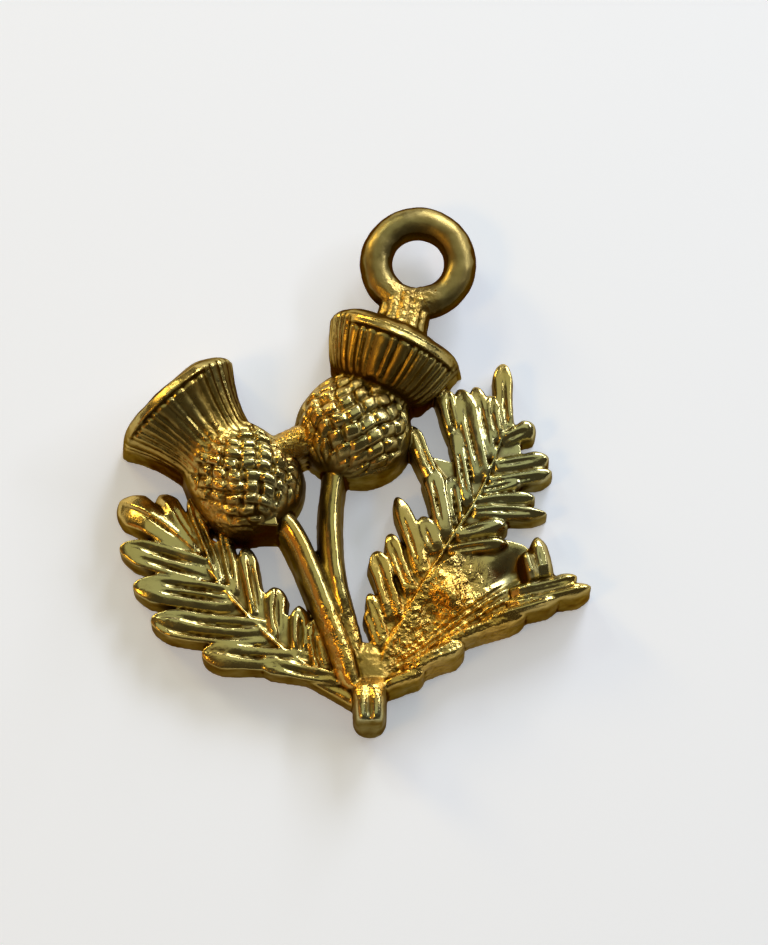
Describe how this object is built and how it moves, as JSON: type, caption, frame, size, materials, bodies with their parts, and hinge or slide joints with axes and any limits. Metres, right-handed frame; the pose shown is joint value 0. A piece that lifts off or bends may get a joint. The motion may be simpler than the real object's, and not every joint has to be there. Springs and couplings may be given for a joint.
{
  "type": "thistle jewellery charm",
  "caption": "Cast gold charm of thistle flowers on leafy stems, flat backed, with a fixed ring at the top for a jump ring.",
  "frame": {"origin": "on the flat back, under the middle of the casting's outline", "axes": "+Y from the stalk towards the hanging ring, +Z out of the face, +X to the right of someone looking at the face"},
  "size_m": [0.019, 0.0216, 0.0041],
  "materials": {
    "cast_gold": "worn polished yellow gold, darkened in its recesses"
  },
  "bodies": {
    "root": {"thistle_charm": "cast_gold"}
  },
  "joints": []
}
